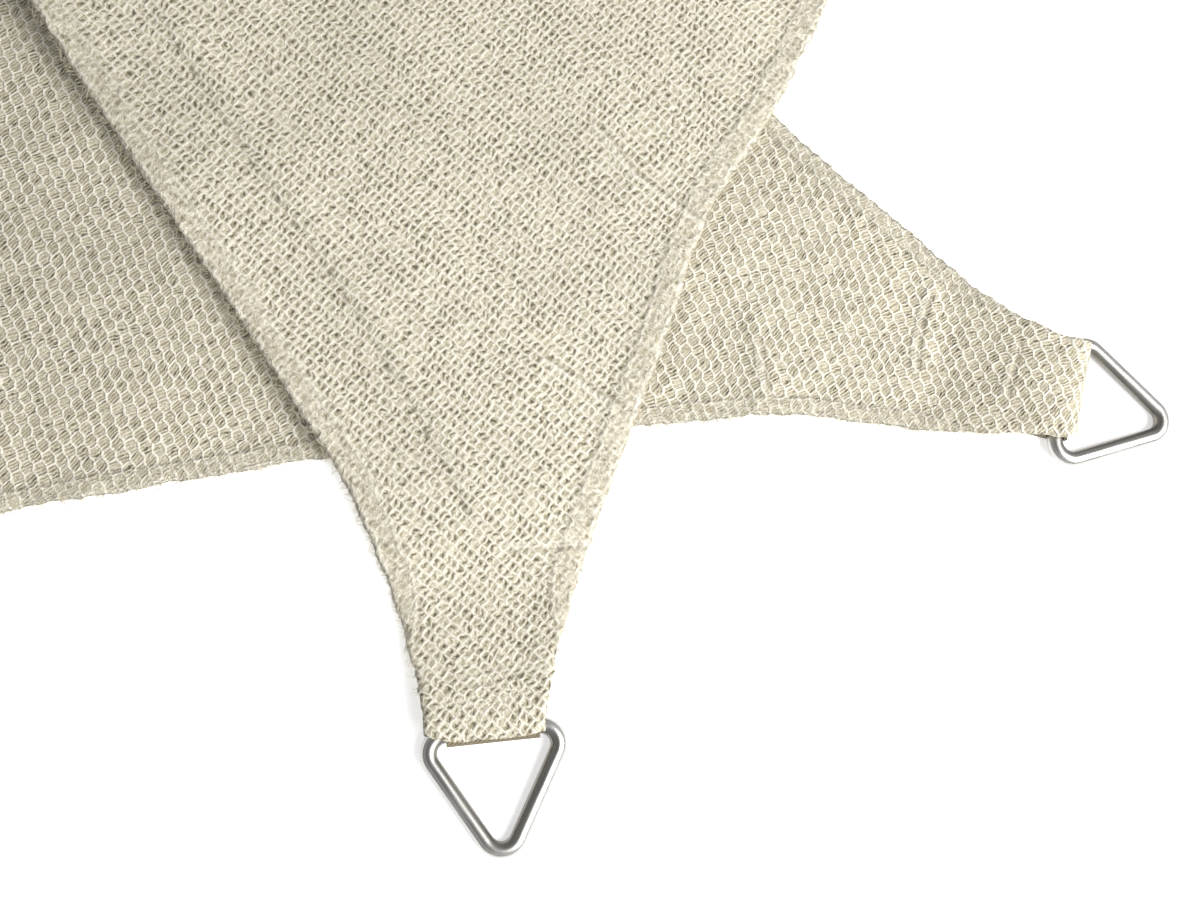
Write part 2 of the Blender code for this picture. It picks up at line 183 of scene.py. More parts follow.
# The sail's edge from one corner towards another: the way along the straight side, and how far
# inside it the edge lies
PLAIN_EDGE = ((0.026, -0.0040), (0.042, 0.0020), (0.090, 0.0110), (0.280, 0.0250))
EDGES = {
    ("a", "b"): (
        (0.026, -0.0030), (0.038, 0.0045), (0.054, 0.0085), (0.090, 0.0125), (0.148, 0.0190),
    ),
    ("b", "a"): (
        (0.027, -0.0030), (0.042, 0.0045), (0.079, 0.0148), (0.111, 0.0193), (0.280, 0.0213),
    ),
    ("b", "c"): (
        (0.027, -0.0060), (0.042, -0.0012), (0.089, 0.0057), (0.150, 0.0110), (0.193, 0.0155),
        (0.240, 0.0105), (0.300, 0.0100),
    ),
    ("c", "b"): PLAIN_EDGE,
    ("c", "a"): PLAIN_EDGE,
    ("a", "c"): (
        (0.027, -0.0033), (0.046, 0.0020), (0.074, 0.0106), (0.114, 0.0235), (0.158, 0.0290),
        (0.251, 0.0390), (0.346, 0.0427),
    ),
}

# Soft ridges and troughs of the cloth, with heights, widths and plan points in millimetres
RELIEFS = (
    Relief("b", 0.7, 3.2, ((-305, 128), (-273, 77), (-247, 39), (-222, -3), (-208, -31))),
    Relief("b", 0.8, 3.2, ((-161, 72), (-139, 56))),
    Relief("b", 0.8, 3.2, ((-192, 13), (-169, -2))),
    Relief("a", 0.9, 3.0, ((-123, 31), (-121, 9))),
    Relief("a", 0.9, 3.0, ((-64, 39), (-69, 13))),
    Relief("a", -1.1, 7.0, ((-125, 79), (-111, 36))),
)

# Sharp creases and sewn lines, with their plan points in millimetres. The ridge of a line, which
# gets a painted highlight, lies to the left of its way, and its groove gets painted shade.
SEAMS = (
    Seam("b", 0.3, 1.0, ((-310, 127), (-278, 76), (-252, 38), (-227, -4), (-213, -32))),
    Seam("b", 0.8, 1.0, ((-202, -43), (-177, -42))),
    Seam("b", 0.6, 0.8, ((-215, -83), (-207, -82), (-200, -80), (-191, -80))),
    Seam("b", 1.0, 0.2, ((-136, 59), (-148, 68), (-159, 76), (-171, 92))),
    Seam("b", 1.0, 0.3, ((-167, 2), (-179, 10), (-190, 17))),
    Seam("a", 1.0, 0.5, ((-118.8, 7.6), (-120.3, 16.6), (-121.2, 24.6))),
    Seam("a", 0.9, 0.5, ((-70.3, 12.8), (-68.9, 24.9), (-66.5, 32.4), (-63.7, 39.4))),
    Seam("a", 0.7, 0.2, ((-43.4, 3.7), (-40.4, 13.4), (-37.8, 21.6))),
)


def direction(degrees):
    """A step of length 1 at this angle."""
    return cmath.rect(1.0, math.radians(degrees))


def dot(a, b):
    """How far one way goes along the other, times the other's length."""
    return a.real * b.real + a.imag * b.imag


def mirrored(spot, start, angle):
    """The spot on the other side of the line through start at this angle."""
    return start + (spot - start).conjugate() * direction(2 * angle)


def crossing(start, angle, other_start, other_angle):
    """Where two lines meet."""
    normal = direction(other_angle + 90)
    reach = dot(other_start - start, normal) / dot(direction(angle), normal)
    return start + reach * direction(angle)


def ease(share):
    """0 below 0, 1 above 1, and a smooth climb between."""
    share = min(max(share, 0.0), 1.0)
    return share * share * (3 - 2 * share)


ANGLE_AB = CORNER_A_FACES - 30
ANGLE_AC = CORNER_A_FACES + 30
CORNERS = {
    "a": Corner("a", 0j, CORNER_A_FACES, 0.0246, 0.0030, 3.5, 0.0068),
    "b": Corner("b", SIDE * direction(ANGLE_AB), ANGLE_AB + 150, 0.0219, -0.0038, 1.0, 0.0020),
    "c": Corner("c", SIDE * direction(ANGLE_AC), ANGLE_AC + 210, 0.0236, 0.0, 0.0, 0.0060),
}
SIDES = (("a", "b", ANGLE_AB), ("b", "c", ANGLE_AB + 120), ("c", "a", ANGLE_AB + 240))

TURN_OF_B = CORNER_B_FACES - CORNERS["b"].faces
TURN = direction(TURN_OF_B)
TURN_CENTRE = (CORNER_B_POINT - TURN * CORNERS["b"].point) / (1 - TURN)
FIRST = Crease(TURN_CENTRE, FIRST_CREASE_ANGLE, LAYER_STEP, -90)
SECOND_ANGLE = FIRST_CREASE_ANGLE - TURN_OF_B / 2 - 180
SECOND = Crease(TURN_CENTRE, SECOND_ANGLE, LAYER_STEP / 2, -90)
FIRST_END = crossing(TURN_CENTRE, FIRST_CREASE_ANGLE, 0j, ANGLE_AC)
THIRD = Crease(
    FIRST_END + THIRD_CREASE_START * direction(ANGLE_AC),
    2 * FIRST_CREASE_ANGLE - THIRD_CREASE_ANGLE,
    LAYER_STEP / 2,
    90,
)
CREASES = (FIRST, SECOND, THIRD)
THIRD_START_IN_PLAN = mirrored(THIRD.start, FIRST.start, FIRST.angle)


def slopes_of(rows):
    """A slope at each row that never overshoots, for a smooth curve through the rows."""
    steps = [
        (after.inset - before.inset) / (after.along - before.along)
        for before, after in zip(rows, rows[1:])
    ]
    inner = [
        0.0 if one * other <= 0 else 2 * one * other / (one + other)
        for one, other in zip(steps, steps[1:])
    ]
    return [steps[0], *inner, steps[-1]]


def rows_of(first, second):
    """All rows of the side between two corners, in order along it."""
    near = [Row(*pair) for pair in EDGES[first, second]]
    far = [Row(SIDE - along, inset) for along, inset in reversed(EDGES[second, first])]
    middle = [
        Row(SIDE * share, HOLLOW * 4 * share * (1 - share)) for share in (0.33, 0.5, 0.67)
    ]
    return near + middle + far


ROWS = {(first, second): rows_of(first, second) for first, second, _ in SIDES}
SLOPES = {side: slopes_of(rows) for side, rows in ROWS.items()}


def inset_at(side, along):
    """How far the sail's edge lies inside the straight side, this far along it."""
    rows = ROWS[side]
    slopes = SLOPES[side]
    along = min(max(along, rows[0].along), rows[-1].along)
    index = max(i for i in range(len(rows) - 1) if rows[i].along <= along)
    before, after = rows[index], rows[index + 1]
    width = after.along - before.along
    t = (along - before.along) / width
    return (
        before.inset * (1 + 2 * t) * (1 - t) ** 2
        + slopes[index] * width * t * (1 - t) ** 2
        + after.inset * t * t * (3 - 2 * t)
        + slopes[index + 1] * width * t * t * (t - 1)
    )


def inside_side(spot, side):
    """How far the spot lies inside the sail's edge on this side."""
    first, second, angle = side
    offset = spot - CORNERS[first].point
    along = dot(offset, direction(angle))
    return dot(offset, direction(angle + 90)) - inset_at((first, second), along)


def past(spot, crease):
    """How far the spot lies past the crease, on the side that is folded back."""
    return dot(spot - crease.start, direction(crease.angle + crease.over))


def half_wrap(crease):
    """Half of the cloth's way around the crease."""
    return math.pi * crease.radius / 2


def over_layer_a(spot):
    """1 where layer a lies below, 0 where the cloth above it has come down to the floor."""
    inside = min(inside_side(spot, SIDES[0]), inside_side(spot, SIDES[2]))
    return ease((STEP_DOWN + inside) / (STEP_DOWN - STEP_CLEAR))


def over_middle(spot):
    """1 where the middle lies below the flap, 0 where the flap has come down from it."""
    inside = dot(spot - THIRD_START_IN_PLAN, direction(THIRD_CREASE_ANGLE + 90))
    return ease((MIDDLE_DOWN + inside) / (MIDDLE_DOWN - MIDDLE_CLEAR))


def wave(spot):
    """A slow wave of the upper layers, between -1 and 1."""
    return 0.5 * (
        math.sin(19 * spot.real + 7 * spot.imag) + math.sin(23 * spot.imag - 9 * spot.real + 1)
    )


def height_c(spot):
    """The height of layer c, over layer a or beside it."""
    return LIFT + LAYER_STEP * over_layer_a(spot)


def height_middle(spot):
    """The height of the middle, one layer over c."""
    return height_c(spot) + LAYER_STEP + WAVE_HEIGHT * wave(spot)


def height_b(spot):
    """The height of the flap, over the middle or beside it."""
    stacked = over_middle(spot)
    raised = 2 * LAYER_STEP * stacked + 2 * WAVE_HEIGHT * wave(spot) * stacked
    return height_c(spot) + raised


def bent(spot, crease):
    """The spot once the cloth past the crease is folded back, and its share of the way up."""
    distance = past(spot, crease)
    half = half_wrap(crease)
    if distance <= -half:
        return spot, 0.0
    if distance >= half:
        return spot - 2 * distance * direction(crease.angle + crease.over), 1.0
    turn = (distance + half) / crease.radius
    moved = crease.radius * math.sin(turn) - half - distance
    return spot + moved * direction(crease.angle + crease.over), (1 - math.cos(turn)) / 2


def layer_of(spot):
    """The layer that a point of the flat cloth belongs to once folded: a, middle, b or c."""
    if past(spot, FIRST) < 0:
        return "a"
    if past(spot, SECOND) > 0:
        return "b"
    return "c" if past(spot, THIRD) > 0 else "middle"


def laid(spot):
    """The plan position and the height of a point of the flat cloth once the sail is folded."""
    if past(spot, FIRST) < half_wrap(FIRST):
        plan, share = bent(spot, FIRST)
        low, high = LIFT, height_middle(plan)
    elif past(spot, SECOND) > -half_wrap(SECOND):
        plan, share = bent(spot, SECOND)
        plan = mirrored(plan, FIRST.start, FIRST.angle)
        low, high = height_middle(plan), height_b(plan)
    else:
        plan, share = bent(spot, THIRD)
        plan = mirrored(plan, FIRST.start, FIRST.angle)
        low, high = height_middle(plan), height_c(plan)
    return plan, low + (high - low) * share


def bar_centre(corner):
    """The middle of the ring's bar, on the flat cloth."""
    across = corner.shift * direction(corner.faces + 90)
    return corner.point + corner.bar * direction(corner.faces) + across


def into_cloth(corner):
    """The way from the ring's bar into the cloth."""
    return direction(corner.faces + corner.turn)


def over_bar(spot):
    """The spot moved by its way over a ring's bar, and the height that it gains there."""
    for corner in CORNERS.values():
        inward = dot(spot - bar_centre(corner), into_cloth(corner))
        if abs(spot - corner.point) > BAR_RANGE or inward > RISE_LENGTH:
            continue
        rise = BAR_HEIGHT + COVER_RADIUS - LIFT
        if inward >= 0:
            return spot, rise * (1 - ease(inward / RISE_LENGTH))
        turn = -inward / COVER_RADIUS
        moved = -COVER_RADIUS * math.sin(turn) - inward
        drop = COVER_RADIUS * (1 - math.cos(turn))
        return spot + moved * into_cloth(corner), rise - drop
    return spot, 0.0


# ---- the cloth's small forms


def edge_distance(spot):
    """How far the spot lies inside the nearest finished edge, and which side that is."""
    found = [(inside_side(spot, side), side) for side in SIDES]
    return min(found, key=lambda pair: pair[0])


def end_distance(spot):
    """How far the spot lies from the cloth's nearest end over a ring's bar."""
    nearest = 1.0
    for corner in CORNERS.values():
        offset = spot - corner.point
        if abs(offset) > END_RANGE:
            continue
        across = abs(dot(offset, direction(corner.faces + 90))) / TIP_HALF_WIDTH
        end = TIP_START - corner.bulge * (1 - min(across, 1.0) ** 4)
        nearest = min(nearest, dot(offset, direction(corner.faces)) - end)
    return nearest


def edge_place(spot):
    """The place in the hem: across, where 1 is its sewn line, and along, in metres."""
    distance, side = edge_distance(spot)
    first, _, angle = side
    along = dot(spot - CORNERS[first].point, direction(angle))
    past_hem = 1.3 * tip_share(spot)
    return min(distance / hem_width(spot, side) + past_hem, 5.0), along


def line_spots(points):
    """A table's points, in metres."""
    return [complex(x, y) / 1000 for x, y in points]


def off_line(spot, start, end):
    """The way from the nearest point of a line's piece, and the spot's share along the piece."""
    way = end - start
    share = dot(spot - start, way) / abs(way) ** 2
    held = min(max(share, 0.0), 1.0)
    return spot - start - held * way, share


def seam_place(spot, layer):
    """The signed distance from this layer's nearest line, the way along, its depth and holes."""
    plan, _ = laid(spot)
    best = (1.0, 0.0, 0.0, 0.0)
    for seam in SEAMS:
        if seam.layer != layer:
            continue
        run = 0.0
        spots = line_spots(seam.points)
        for start, end in zip(spots, spots[1:]):
            way = end - start
            off, share = off_line(plan, start, end)
            if abs(off) < abs(best[0]):
                beyond = share < 0 and start == spots[0] or share > 1 and end == spots[-1]
                shown = 0.0 if beyond or abs(off) > SEAM_REACH else 1.0
                distance = math.copysign(abs(off), dot(off, way * 1j))
                along = run + min(max(share, 0.0), 1.0) * abs(way)
                best = (distance, along, seam.depth * shown, seam.holes * shown)
            run += abs(way)
    return best


def hem_width(spot, side):
    """The hem's width, which changes from one corner's to the other's along the side."""
    first, second, angle = side
    share = dot(spot - CORNERS[first].point, direction(angle)) / SIDE
    near, far = HEM_WIDTHS[first], HEM_WIDTHS[second]
    return near + (far - near) * ease((share - 0.3) / 0.4)


def tip_share(spot):
    """1 close to a ring's bar, 0 in the open cloth."""
    nearest = min(abs(spot - bar_centre(corner)) for corner in CORNERS.values())
    return 1 - ease((nearest - PLAIN_TIP) / PLAIN_TIP_FADE)


def ripple(spot, size, seed):
    """A smooth unevenness of this size, between about -1 and 1."""
    x, y = spot.real / size, spot.imag / size
    return (
        math.sin(2.1 * x + 1.3 * y + seed)
        + math.sin(-1.7 * x + 2.3 * y + 2.1 * seed)
        + math.sin(0.9 * x - 3.1 * y + 3.7 * seed)
    ) / 3


def hem_form(spot):
    """The height that the doubled hem gives the cloth: a puckered band, fuller in its middle."""
    distance, side = edge_distance(spot)
    if distance > HEM_RANGE:
        return 0.0
    width = hem_width(spot, side)
    open_share = 1 - tip_share(spot)
    band = HEM_RISE * (1 - ease((distance - width + HEM_STEP_BACK) / HEM_STEP)) * open_share
    crown = HEM_CROWN * math.exp(-(((distance - 0.45 * width) / (0.4 * width)) ** 2))
    pucker = HEM_PUCKER * ripple(spot, PUCKER_SIZE, 1.7)
    return band + crown + pucker * math.exp(-((distance / (1.5 * width)) ** 2))


def relief_form(plan, layer):
    """The height that the table's ridges and troughs give the cloth here."""
    total = 0.0
    for relief in RELIEFS:
        if relief.layer != layer:
            continue
        spots = line_spots(relief.points)
        width = relief.width / 1000
        distance = min(abs(off_line(plan, a, b)[0]) for a, b in zip(spots, spots[1:]))
        if distance < 3 * width:
            total += relief.height / 1000 * math.exp(-((distance / width) ** 2))
    return total


def ragged(spot):
    """A small unevenness of the cut edges, within the plane of the cloth."""
    distance, side = edge_distance(spot)
    end = end_distance(spot)
    uneven = sum(RAGGED * ripple(spot, size, seed) for size, seed in RAGGED_SIZES)
    if end < distance:
        nearest = min(CORNERS.values(), key=lambda corner: abs(spot - corner.point))
        return uneven * math.exp(-max(end, 0.0) / RAGGED_DEPTH) * direction(nearest.faces)
    return uneven * math.exp(-max(distance, 0.0) / RAGGED_DEPTH) * direction(side[2] + 90)


def cloth_point(spot):
    """Where a point of the flat cloth lies once the sail is folded on the surface."""
    layer = layer_of(spot)
    edge_form = hem_form(spot)
    moved, rise = over_bar(spot + ragged(spot))
    plan, height = laid(moved)
    soft = sum(lift * ripple(plan, size, seed) for lift, size, seed in SOFT_FORMS)
    flipped = -1 if layer in ("middle", "c") else 1
    form = edge_form * flipped + relief_form(plan, layer) + soft
    near_crease = min(abs(past(spot, crease)) for crease in CREASES)
    form *= ease((near_crease - SMOOTH_CREASE) / SMOOTH_CREASE_FADE)
    return Vector((plan.real, plan.imag, max(height + rise + form, CLOTH / 2)))


# ---- the flat mesh


def frame_distance(spot):
    """How far outside the photographed part a point of the flat cloth lies once folded."""
    layer = layer_of(spot)
    if layer in ("middle", "c"):
        return 1.0
    plan, _ = laid(spot)
    x = max(SHOWN_X[0] - plan.real, plan.real - SHOWN_X[1], 0.0)
    y = max(SHOWN_Y[0] - plan.imag, plan.imag - SHOWN_Y[1], 0.0)
    return math.hypot(x, y)


def spacing_at(spot):
    """The wanted distance between the mesh's points here."""
    near_c = SPACING_AT_C + GROWTH_FROM_C * abs(spot - CORNERS["c"].point)
    return min(FINEST + GROWTH * frame_distance(spot), near_c, COARSEST)


def tip_points(corner, start, end):
    """The points of the cloth's bulging end over a ring's bar, between its two edges."""
    points = []
    for step in range(1, TIP_STEPS):
        across = 2 * step / TIP_STEPS - 1
        bulge = corner.bulge * (1 - across**4)
        way = (end - start) * step / TIP_STEPS
        points.append(start + way - bulge * direction(corner.faces))
    return points


def outline_points():
    """The sail's outline as it was cut, against the clock."""
    sides = []
    for first, second, angle in SIDES:
        rows = ROWS[first, second]
        along = rows[0].along
        points = []
        while along < rows[-1].along:
            spot = CORNERS[first].point + along * direction(angle)
            edge = spot + inset_at((first, second), along) * direction(angle + 90)
            points.append(edge)
            along += min(OUTLINE_SHARE * spacing_at(edge), LONGEST_EDGE)
        last = CORNERS[first].point + rows[-1].along * direction(angle)
        if abs(last - points[-1]) < SHORTEST_EDGE:
            points.pop()
        points.append(last + rows[-1].inset * direction(angle + 90))
        sides.append(points)
    outline = []
    for (first, _, _), before, points in zip(SIDES, [sides[-1], *sides[:-1]], sides):
        outline += tip_points(CORNERS[first], before[-1], points[0])
        outline += points
    return outline


def crease_offsets(crease):
    """How far the rows of points within a crease lie past its middle."""
    steps = ROWS_IN_CREASE - 1
    return [half_wrap(crease) * (2 * row / steps - 1) for row in range(ROWS_IN_CREASE)]


def bending_outline():
    """The outline, with further points wherever it crosses a crease's rows."""
    outline = outline_points()
    points = []
    for spot, following in zip(outline, [*outline[1:], outline[0]]):
        shares = [0.0]
        for crease in CREASES:
            before, after = past(spot, crease), past(following, crease)
            for offset in crease_offsets(crease):
                if (before - offset) * (after - offset) < 0:
                    shares.append((offset - before) / (after - before))
        points += [spot + share * (following - spot) for share in sorted(shares)]
    return points


def within_sail(spot, margin):
    """Whether the spot lies at least this far inside the cloth's edges and ends."""
    if any(inside_side(spot, side) < margin for side in SIDES):
        return False
    return end_distance(spot) >= margin


def crease_points():
    """Points in rows along each crease, close enough together for the bend."""
    points = []
    for crease in CREASES:
        across = direction(crease.angle + crease.over)
        for offset in crease_offsets(crease):
            for step in range(-5, int(SIDE / CREASE_STEP)):
                spot = crease.start + step * CREASE_STEP * direction(crease.angle)
                spot += offset * across
                if within_sail(spot, CREASE_MARGIN):
                    points.append(spot)
    return points


def lattice(low, high, step):
    """The points of a lattice of equal triangles in the box between two points, row by row."""
    j = math.floor(low.imag / (ROW_SHARE * step))
    while j * ROW_SHARE * step < high.imag:
        i = math.floor(low.real / step)
        while i * step < high.real:
            yield complex((i + 0.5 * (j % 2)) * step, j * ROW_SHARE * step)
            i += 1
        j += 1


def belongs(spot, level):
    """Whether a point of this level's lattice is one of the mesh's."""
    step = FINEST * 2**level
    if not within_sail(spot, EDGE_ROOM * step):
        return False
    lowest = 0.0 if level == 0 else LEVEL_RANGE[0] * step
    highest = math.inf if level == LEVELS - 1 else LEVEL_RANGE[1] * step
    if not lowest <= spacing_at(spot) < highest:
        return False
    room = CREASE_ROOM * step
    return all(abs(past(spot, crease)) > half_wrap(crease) + room for crease in CREASES)


def field_points():
    """Rows of points over the sail, in lattices whose spacing doubles away from the camera."""
    places = [corner.point for corner in CORNERS.values()]
    x, y = zip(*((place.real, place.imag) for place in places))
    low, high = complex(min(x), min(y)), complex(max(x), max(y))
    reach = complex(FINE_RANGE, FINE_RANGE)
    near_corners = [(place - reach, place + reach) for place in places]
    points = []
    for level in range(LEVELS):
        for start, end in near_corners if level < FINE_LEVELS else [(low, high)]:
            spots = lattice(start, end, FINEST * 2**level)
            points += [spot for spot in spots if belongs(spot, level)]
    return points


# ---- the sheet, its places in the materials, and its fibres


def knit_place(spot, layer):
    """The place in the knit, across and along its chains, in metres."""
    if layer == "b":
        spot = mirrored(spot, SECOND.start, SECOND.angle)
        spot = mirrored(spot, FIRST.start, FIRST.angle)
        along = direction(CHAINS_ON_FLAP)
    else:
        turned = ease((spot.real + CHAINS_TURN_LENGTH) / CHAINS_TURN_LENGTH)
        along = direction(-(CHAINS_LEAN + CHAINS_TURN * turned))
    return dot(spot, along * 1j), dot(spot, along)


def placed(name, data):
    """A new object in the scene."""
    made = bpy.data.objects.new(name, data)
    bpy.context.scene.collection.objects.link(made)
    return made


def fill_layers(mesh, spots):
    """Gives each face its side of the knit, and its corners their places in the UV layers."""
    for layer_name in UV_LAYERS:
        mesh.uv_layers.new(name=layer_name)
    knit, edge, seam, mark = (mesh.uv_layers[layer_name].data for layer_name in UV_LAYERS)
    edges = [edge_place(spot) for spot in spots]
    lines = {}
    for face in mesh.polygons:
        layer = layer_of(sum(spots[index] for index in face.vertices) / 3)
        face.material_index = 1 if layer == "b" else 0
        for loop, index in zip(face.loop_indices, face.vertices):
            if (index, layer) not in lines:
                lines[index, layer] = seam_place(spots[index], layer)
            off, along, depth, holes = lines[index, layer]
            knit[loop].uv = knit_place(spots[index], layer)
            edge[loop].uv = edges[index]
            seam[loop].uv = (off, along)
            mark[loop].uv = (depth, holes)


def make_sheet(name, materials):
    """The folded cloth, as one thin sheet."""
    outline = bending_outline()
    inner = crease_points() + field_points()
    flat = [Vector((spot.real, spot.imag)) for spot in outline + inner]
    border = [list(range(len(outline)))]
    found = delaunay_2d_cdt(flat, [], border, INSIDE_ONLY, MERGED_WITHIN)
    spots = [complex(vertex.x, vertex.y) for vertex in found[0]]
    faces = [list(face) for face in found[2]]
    mesh = bpy.data.meshes.new(name)
    mesh.from_pydata([cloth_point(spot) for spot in spots], [], faces)
    fill_layers(mesh, spots)
    mesh.shade_smooth()
    for material in materials:
        mesh.materials.append(material)
    sheet = placed(name, mesh)
    clean = bmesh.new()
    clean.from_mesh(mesh)
    loose = [vertex for vertex in clean.verts if not vertex.link_faces]
    bmesh.ops.delete(clean, geom=loose, context="VERTS")
    bmesh.ops.recalc_face_normals(clean, faces=clean.faces)
    clean.to_mesh(mesh)
    clean.free()
    thick = sheet.modifiers.new("thickness", "SOLIDIFY")
    thick.thickness = CLOTH
    thick.offset = 0.0
    return sheet


def round_curve(name, radius, resolution, material):
    """An empty curve of round wire."""
    curve = bpy.data.curves.new(name, "CURVE")
    curve.dimensions = "3D"
    curve.bevel_depth = radius
    curve.bevel_resolution = resolution
    curve.materials.append(material)
    return curve


def make_fibres(name, material):
    """Loose fibres that stick out of the visible edges of the cloth."""
    chance = random.Random(5)
    curve = round_curve(name, FIBRE_RADIUS, 0, material)
    for first, second, angle in SIDES:
        outward = direction(angle - 90)
        along = ROWS[first, second][0].along
        while along < SIDE:
            along += chance.uniform(*FIBRE_STEPS)
            spot = CORNERS[first].point + along * direction(angle)
            edge = spot - inset_at((first, second), along) * outward
            if frame_distance(edge) > UNSEEN_FROM or end_distance(edge) < FIBRELESS_END:
                along += UNSEEN_STEP
                continue
            start = cloth_point(edge - FIBRE_ROOT * outward)
            way = (cloth_point(edge + 0.001 * outward) - start).normalized()
            beside = Vector((-way.y, way.x, 0.0))
            reach = chance.uniform(*FIBRE_LENGTHS)
            lean = chance.uniform(*FIBRE_LEANS)
            curl = chance.uniform(*FIBRE_CURLS)
            lift = chance.uniform(*FIBRE_LIFTS)
            spline = curve.splines.new("POLY")
            spline.points.add(FIBRE_PIECES)
            for step, place in enumerate(spline.points):
                share = step / FIBRE_PIECES
                sideways = lean * share + curl * share * share
                tip = start + reach * (way * share + beside * sideways)
                tip.z = max(tip.z + reach * lift * share, 2 * FIBRE_RADIUS)
                place.co = (*tip, 1.0)
                place.radius = 1.0 - 0.5 * share
    return placed(name, curve)


# ---- rings


def ring_line():
    """The middle line of a ring's wire: three rounded corners, with the bar's middle at 0."""
    points = []
    for spot, faces in (
        (complex(0, RING_SIDE / 2), -120.0),
        (complex(-RING_HEIGHT, 0), 0.0),
        (complex(0, -RING_SIDE / 2), 120.0),
    ):
        centre = spot + 2 * RING_CORNER_RADIUS * direction(faces)
        for step in range(RING_STEPS + 1):
            turn = faces + 120 + 120 * step / RING_STEPS
            points.append(centre + RING_CORNER_RADIUS * direction(turn))
    return points


def corner_place(corner):
    """The middle of the ring's bar in the plan, and the angle into the cloth."""
    centre, _ = laid(bar_centre(corner))
    inner, _ = laid(bar_centre(corner) + 0.01 * into_cloth(corner))
    return centre, cmath.phase(inner - centre)


def make_ring(corner, shift, material):
    """A ring of round wire, its bar in the tape loop and its far corner on the floor."""
    name = "ring_wire_" + corner.name
    curve = round_curve(name, WIRE / 2, 10, material)
    line = ring_line()
    spline = curve.splines.new("POLY")
    spline.points.add(len(line) - 1)
    for place, spot in zip(spline.points, line):
        place.co = (spot.real, spot.imag, 0.0, 1.0)
    spline.use_cyclic_u = True
    spline.use_smooth = True
    ring = placed(name, curve)
    centre, inward = corner_place(corner)
    ring.location = (centre.real + shift.x, centre.imag + shift.y, BAR_HEIGHT)
    ring.rotation_euler = (0.0, -RING_TILT, inward)
    return ring


# ---- materials


class Nodes:
    """A short way to write the nodes of a material or a world."""

    def __init__(self, owner, shader="Principled BSDF"):
        owner.use_nodes = True
        self.owner = owner
        self.tree = owner.node_tree
        self.shader = self.tree.nodes[shader]

    def put(self, socket, value):
        """Links another node's output to the socket, or sets it to a plain value."""
        if isinstance(value, bpy.types.NodeSocket):
            self.tree.links.new(value, socket)
        else:
            socket.default_value = value

    def give(self, name, value):
        """Sets one of the shader's inputs."""
        self.put(self.shader.inputs[name], value)

    def node(self, kind, *values, **settings):
        """A new node with these settings, and with these values for its first inputs."""
        node = self.tree.nodes.new("ShaderNode" + kind)
        for name, setting in settings.items():
            setattr(node, name, setting)
        for socket, value in zip(node.inputs, values):
            self.put(socket, value)
        return node

    def math(self, operation, *values):
        return self.node("Math", *values, operation=operation).outputs[0]

    def add(self, a, b):
        return self.math("ADD", a, b)

    def sub(self, a, b):
        return self.math("SUBTRACT", a, b)

    def mul(self, a, b):
        return self.math("MULTIPLY", a, b)

    def largest(self, a, b):
        return self.math("MAXIMUM", a, b)

    def absolute(self, value):
        return self.math("ABSOLUTE", value)

    def floor(self, value):
        return self.math("FLOOR", value)

    def spread(self, value, width):
        """A value from 0 to 1, laid evenly about 0 over this width."""
        return self.mul(self.sub(value, 0.5), width)

    def between(self, value, low, high, start=0.0, end=1.0):
        """A smooth step of the value from start at low to end at high."""
        node = self.node("MapRange", value, low, high, start, end)
        node.interpolation_type = "SMOOTHSTEP"
        return node.outputs[0]

    def line(self, value, middle, inner, outer):
        """1 within the inner distance of the middle, and 0 beyond the outer one."""
        return self.between(self.absolute(self.sub(value, middle)), inner, outer, 1.0, 0.0)

    def vector(self, x, y, z=0.0):
        return self.node("CombineXYZ", x, y, z).outputs[0]

    def split(self, vector):
        """The three numbers of a vector."""
        return tuple(self.node("SeparateXYZ", vector).outputs)

    def coordinates(self, layer):
        """The two numbers of this UV layer."""
        return self.split(self.node("UVMap", uv_map=layer).outputs[0])[:2]

    def vector_math(self, operation, *values):
        node = self.node("VectorMath", *values, operation=operation)
        return node.outputs["Value" if operation == "DOT_PRODUCT" else "Vector"]

    def scaled(self, vector, factor):
        """The vector, or colour, times the factor."""
        node = self.node("VectorMath", vector, operation="SCALE")
        self.put(node.inputs["Scale"], factor)
        return node.outputs[0]

    def noise(self, vector, scale, detail=2.0, roughness=0.5, distortion=0.0):
        """Smooth noise from 0 to 1."""
        node = self.node("TexNoise")
        names = ("Vector", "Scale", "Detail", "Roughness", "Distortion")
        for name, value in zip(names, (vector, scale, detail, roughness, distortion)):
            self.put(node.inputs[name], value)
        return node.outputs["Fac"]

    def white(self, vector):
        """A number from 0 to 1 that differs for each vector."""
        return self.node("TexWhiteNoise", vector, noise_dimensions="3D").outputs["Value"]

    def mix(self, share, a, b):
        """Colour a, with this share of colour b."""
        node = self.node("Mix", share, data_type="RGBA")
        self.put(node.inputs[6], a)
        self.put(node.inputs[7], b)
        return node.outputs[2]

    def bump(self, height, distance, strength):
        """The normal of a surface with this relief."""
        node = self.node("Bump")
        self.put(node.inputs["Height"], height)
        self.put(node.inputs["Distance"], distance)
        self.put(node.inputs["Strength"], strength)
        return node.outputs[0]


CHAIN_COLOUR = (0.90, 0.86, 0.74, 1.0)
FIBRE_COLOUR = (0.32, 0.282, 0.190, 1.0)
LIGHT_FIBRE_COLOUR = (0.72, 0.660, 0.505, 1.0)
# The dark of the knit's slots and of the seams' and hem's holes is painted shade
GAP_SHADE_COLOUR = (0.12, 0.102, 0.062, 1.0)
HEM_COLOUR = (0.40, 0.350, 0.235, 1.0)
LOOSE_FIBRE_COLOUR = (0.50, 0.445, 0.32, 1.0)
STEEL_COLOURS = ((0.42, 0.41, 0.39, 1.0), (0.52, 0.51, 0.49, 1.0))
DARK_REFLECTION_COLOUR = (0.20, 0.187, 0.168, 1.0)
# The tape: its ribs' colour, and the darker one between them, which is painted shade
TAPE_COLOURS = ((0.09, 0.073, 0.042, 1.0), (0.30, 0.255, 0.165, 1.0))

